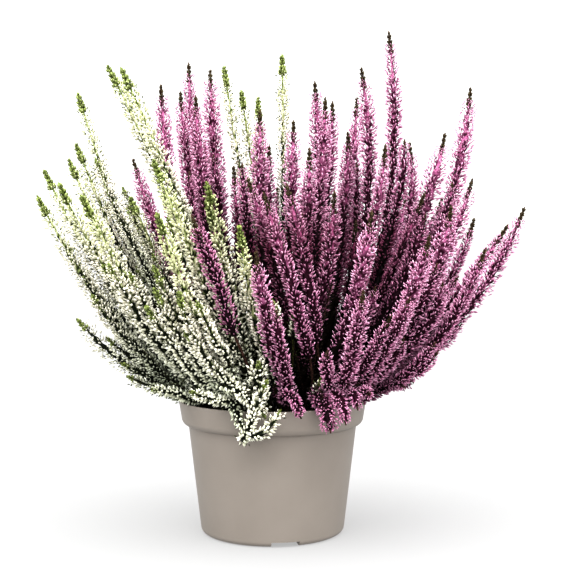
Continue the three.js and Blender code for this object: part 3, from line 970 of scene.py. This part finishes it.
def with_own_buds(plant, end):
    """The plant with the buds of a spray that ends there: sprays at the sunny front carry larger
    and fewer buds than those at the back."""
    scale = np.interp(end[1], (-60, 0), plant["front_and_back"])
    sized = {key: np.array(plant[key]) * scale for key in ("bud_length", "bud_radius")}
    bud = FULL_BUD if scale > 1 else SLIM_BUD
    return {**plant, **sized, "buds": plant["buds"] / scale, "bud": bud}


def own_tip(end):
    """The length of a leafy tip that ends there: shoots that end low have hardly any."""
    return np.interp(end[2], (LOW_END, 200), (SHORTEST_TIP, TIP_LENGTH))


def levels(end):
    """Where the painted shading of a stem that ends there starts and where it ends: the feet of sprays
    at the front are painted as out in the light, and shoots that end low are painted in the shade of
    the rest."""
    foot_level = np.interp(end[1], (-90, -40), (0.4, 0.0))
    top_level = np.interp(end[2], (LOW_END, 220), (0.4, 1.0))
    return foot_level, top_level


def branch_count(plant, start, end):
    """How many branches a spray has: most at the bush's two sides, and none on a short spray."""
    if np.linalg.norm(end - start) < SHORTEST_BRANCHED:
        return 0
    return plant["outer_branches"] if abs(end[0]) > OUTER_FROM else 1


def spray(name, node, plant, seed):
    """One spray: its stem, side shoot, branches, sprigs, buds, leaves and leafy tips in one
    piece."""
    rng = np.random.default_rng(seed)
    stems, reach = stems_of(node)
    bunch = Bunch()
    start, _, end = stems[0]
    plant = with_own_buds(plant, end)
    from_axis = math.hypot(start[0], start[1])
    usual_bare = np.interp((from_axis / FOOT_LIMIT) ** 2, (0, 1), BARE_STEMS)
    bare = min(usual_bare, np.linalg.norm(end - start) / 4)
    foot = Path(np.linspace(start - (0, 0, FOOT_LENGTH), start, 3))
    bunch.stem(foot, (STEM_RADIUS, STEM_RADIUS), 5, (0.0, 0.0))
    rises = levels(end)
    main = dress_stem(bunch, stems[0], reach, bare, own_tip(end), plant, rng, rises)
    for side in stems[1:]:
        side_reach = FULL_REACH * SIDE_SHOOT_REACH
        dress_stem(bunch, side, side_reach, 4, own_tip(side[2]), plant, rng, levels(side[2]))
    for _ in range(branch_count(plant, start, end)):
        branch = branch_of(main, bare, rng)
        branch_rises = (rises[0], 0.8 * rises[1])
        dress_stem(bunch, branch, reach * BRANCH_REACH, 8, 6, plant, rng, branch_rises)
    for _ in range(plant["sprigs"]):
        add_sprig(bunch, main, rng.uniform(0.05, 0.3) * main.length, rng.uniform(14, 26), plant, rng)
    bunch.piece(name, plant["materials"], plant["slot"], [node])


def add_twig(bunch, foot, control, end, rng):
    """A thin twig without buds, leafy above its lowest third."""
    path = Path(curve(foot, control, end, 10))
    # its stem and leaves get deep painted shade, as in the bush's dark middle
    bunch.stem(path, (0.6, 0.25), 4, (0.0, 0.2))
    add_leaves(bunch, path, path.length * 0.3, path.length, 1.8, 1.8, rng, (0.0, 0.4))


def inner_twigs(name, plant, centre, count, seed):
    """Short leafy twigs between the sprays' feet, which fill the bush's dark middle."""
    rng = np.random.default_rng(seed)
    bunch = Bunch()
    for _ in range(count):
        turn = 2 * np.pi * rng.random()
        radius = TWIG_BED * math.sqrt(rng.random())
        foot = np.array([radius * math.cos(turn), radius * math.sin(turn), PEAT_TOP - 1.0])
        foot[0] = foot[0] * 0.6 + centre  # each plant keeps to its own side
        outward = unit(foot * (1, 1, 0) + (0, 0, 1e-3))
        height = rng.uniform(28, 95)
        control = foot + np.array([0, 0, height * 0.55]) + outward * height * 0.12
        end = foot + np.array([0, 0, height]) + outward * height * rng.uniform(0.15, 0.5)
        add_twig(bunch, foot, control, end, rng)
    bunch.piece(name, plant["materials"], plant["slot"])


def rim_twigs(name, plant, first_angle, last_angle, count, seed):
    """Small leafy twigs that lean out over the pot's rim, between two angles from +X."""
    rng = np.random.default_rng(seed)
    bunch = Bunch()
    for angle in np.linspace(first_angle, last_angle, count):
        turn = math.radians(angle + rng.uniform(-5, 5))
        outward = np.array([math.cos(turn), math.sin(turn), 0.0])
        foot = outward * TWIG_BED + (0, 0, PEAT_TOP - 1.0)
        control = outward * 62 + (0, 0, rng.uniform(116, 124))
        end = outward * rng.uniform(70, 80) + (0, 0, rng.uniform(98, 110))
        add_twig(bunch, foot, control, end, rng)
    bunch.piece(name, plant["materials"], plant["slot"])


def loose_shoots(name, plant, rows, seed):
    """Small flowering shoots of a plant that stand apart from its sprays, one for each row."""
    rng = np.random.default_rng(seed)
    bunch = Bunch()
    for start, control, end, reach, bare_share, top_level in rows:
        stem = np.array([start, control, end], dtype=float)
        own_buds = with_own_buds(plant, end)
        bare = bare_share * np.linalg.norm(stem[2] - stem[0])
        dress_stem(bunch, stem, reach, bare, own_tip(end), own_buds, rng, (0.1, top_level))
    bunch.piece(name, plant["materials"], plant["slot"])


def thicket(name, material, centre, count, seed):
    """The dense old growth between the stems, where little light comes in. Its nearly black colour is
    partly painted shade.
    """
    rng = np.random.default_rng(seed)
    bunch = Bunch()
    for _ in range(count):
        turn = 2 * np.pi * rng.random()
        radius = THICKET_BED * math.sqrt(rng.random())
        foot = np.array([radius * math.cos(turn) * 0.6 + centre, radius * math.sin(turn), PEAT_TOP])
        lean = foot * (0.9, 0.55, 0) + (0.3 * centre, 0, rng.uniform(50, 85))
        path = Path(curve(foot, foot + lean * (0.35, 0.35, 0.5), foot + lean, 12))
        places = np.linspace(0, path.length, int(path.length / 3))
        share = places / path.length
        body = 3.4 * (0.4 + 0.6 * np.sin(np.pi * share**0.8))
        radii = body[:, None] * rng.uniform(0.35, 1.5, (len(places), 6))
        bunch.tube(path, places, radii, np.zeros(radii.shape), np.zeros(len(places)), ONLY_FINISH)
    bunch.piece(name, [material], "peat")


# ------------------------------------------------------------------ the two plants
# Buds and leaves are numbers for each millimetre of stem, and the other sizes are in millimetres.
# "spread" and "core" multiply a spray's reach, "front_and_back" its buds' size at the bush's front
# and back, and "thinning" is the share of florets that is missing near the top.


def white_plant():
    """The white heather: full white buds, fewer towards the top, and long green tips."""
    return {
        "buds": 4.8,
        "bud_length": (3.4, 4.8),
        "bud_radius": (0.72, 1.0),
        "front_and_back": (1.1, 0.78),
        "spread": 1.12,
        "core": 0.38,
        "thinning": 0.4,
        "tip_thickness": 1.5,
        "leaves": 1.4,
        "leaf_spread": 4.2,
        "outer_branches": 3,
        "sprigs": 2,
        "sprig_leaves": 1.4,
        "sprig_buds": 1.4,
        "slot": "white_floret",
        "materials": [
            # the dark stops of these ramps are painted shade: bud roots, inner, low and middle buds
            papery_bud(
                "white_papery_bud",
                along_stops=[
                    (0.0, "#0a0e07"),
                    (0.25, "#1a2412"),
                    (0.3, "#9aa676"),
                    (0.36, "#f6f3ec"),
                    (1.0, "#fffefb"),
                ],
                tint_stops=[(0.0, "#b6b8a8"), (0.35, "#f2f2ec"), (1.0, "#ffffff")],
                rise_and_shade_stops=[(0.0, "#8e9a86"), (0.3, "#f2f6ec"), (0.7, "#fdfbf6"), (1.0, "#d8e2ac")],
                painted_shade_stops=[(0.0, "#24261f"), (0.5, "#cccec4"), (1.0, "#ffffff")],
            ),
            scale_leaf(
                "green_scale_leaf",
                along_stops=[(0.0, "#5e6c38"), (1.0, "#aeba78")],
                tint_stops=[(0.0, "#8a8f7c"), (1.0, "#ffffff")],
                rise_and_shade_stops=[(0.0, "#2c3422"), (0.5, "#979c88"), (1.0, "#ffffff")],
            ),
            woody_stem(
                "green_brown_stem", rise_and_shade_stops=[(0.0, "#453526"), (0.4, "#5f5f33"), (1.0, "#8fa848")]
            ),
        ],
    }


def pink_plant():
    """The pink heather: dense spikes of slim pink buds, and short olive brown tips."""
    return {
        "buds": 6.4,
        "bud_length": (3.5, 5.0),
        "bud_radius": (0.55, 0.78),
        "front_and_back": (1.0, 1.0),
        "spread": 1.22,
        "core": 0.5,
        "thinning": 0.0,
        "tip_thickness": 1.05,
        "leaves": 0.9,
        "leaf_spread": 2.4,
        "outer_branches": 2,
        "sprigs": 2,
        "sprig_leaves": 1.0,
        "sprig_buds": 1.6,
        "slot": "pink_floret",
        "materials": [
            # the dark stops of these ramps are painted shade: bud roots, inner, low and middle buds
            papery_bud(
                "pink_papery_bud",
                along_stops=[(0.0, "#0c0206"), (0.28, "#42142e"), (0.42, "#dc9ec4"), (1.0, "#fff2f9")],
                tint_stops=[(0.0, "#a07890"), (0.4, "#ead4e0"), (1.0, "#ffffff")],
                rise_and_shade_stops=[(0.0, "#7a566a"), (0.4, "#ead6e0"), (1.0, "#faf2f6")],
                painted_shade_stops=[(0.0, "#1e0b13"), (0.5, "#a88492"), (1.0, "#ffffff")],
            ),
            scale_leaf(
                "olive_scale_leaf",
                along_stops=[(0.0, "#3a2a24"), (1.0, "#625a3a")],
                tint_stops=[(0.0, "#957a78"), (1.0, "#ffffff")],
                rise_and_shade_stops=[(0.0, "#6a5a52"), (0.6, "#a39a8a"), (1.0, "#ffffff")],
            ),
            woody_stem(
                "maroon_brown_stem", rise_and_shade_stops=[(0.0, "#4a352b"), (0.5, "#63453e"), (1.0, "#66503a")]
            ),
        ],
    }


# ------------------------------------------------------------------ assembly


def build():
    """Sets the stage and makes every piece."""
    camera()
    light_table()
    white_surroundings()
    soft_sun("overhead_light", strength=3.4, spread=75, elevation=80, azimuth=-10)
    soft_sun("front_light", strength=2.5, spread=130, elevation=28, azimuth=5)
    studio_view()
    moulded_pot(moulded_polypropylene())
    peat_finish = moist_peat()
    peat(peat_finish)
    peat_crumbs(peat_finish, np.random.default_rng(5))
    white, pink = white_plant(), pink_plant()
    for node in sorted(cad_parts):
        number = node[-2:]
        if node.startswith("white_spray"):
            spray(f"white_heather_{number}", node, white, 100 + int(number))
        if node.startswith("pink_spray"):
            spray(f"pink_heather_{number}", node, pink, 200 + int(number))
    inner_twigs("white_inner_twigs", white, centre=-22, count=8, seed=301)
    inner_twigs("pink_inner_twigs", pink, centre=22, count=9, seed=302)
    rim_twigs("white_rim_twigs", white, first_angle=100, last_angle=262, count=12, seed=303)
    rim_twigs("pink_rim_twigs", pink, first_angle=-106, last_angle=82, count=15, seed=304)
    # dead inner growth, whose near black is partly painted shade
    dark_needles_and_shade = dead_needles_and_painted_shade()
    thicket("white_thicket", dark_needles_and_shade, centre=-24, count=34, seed=305)
    thicket("pink_thicket", dark_needles_and_shade, centre=26, count=42, seed=306)
    loose_shoots("white_loose_shoots", white, WHITE_LOOSE_SHOOTS, seed=307)
    loose_shoots("pink_loose_shoots", pink, PINK_LOOSE_SHOOTS, seed=308)


build()
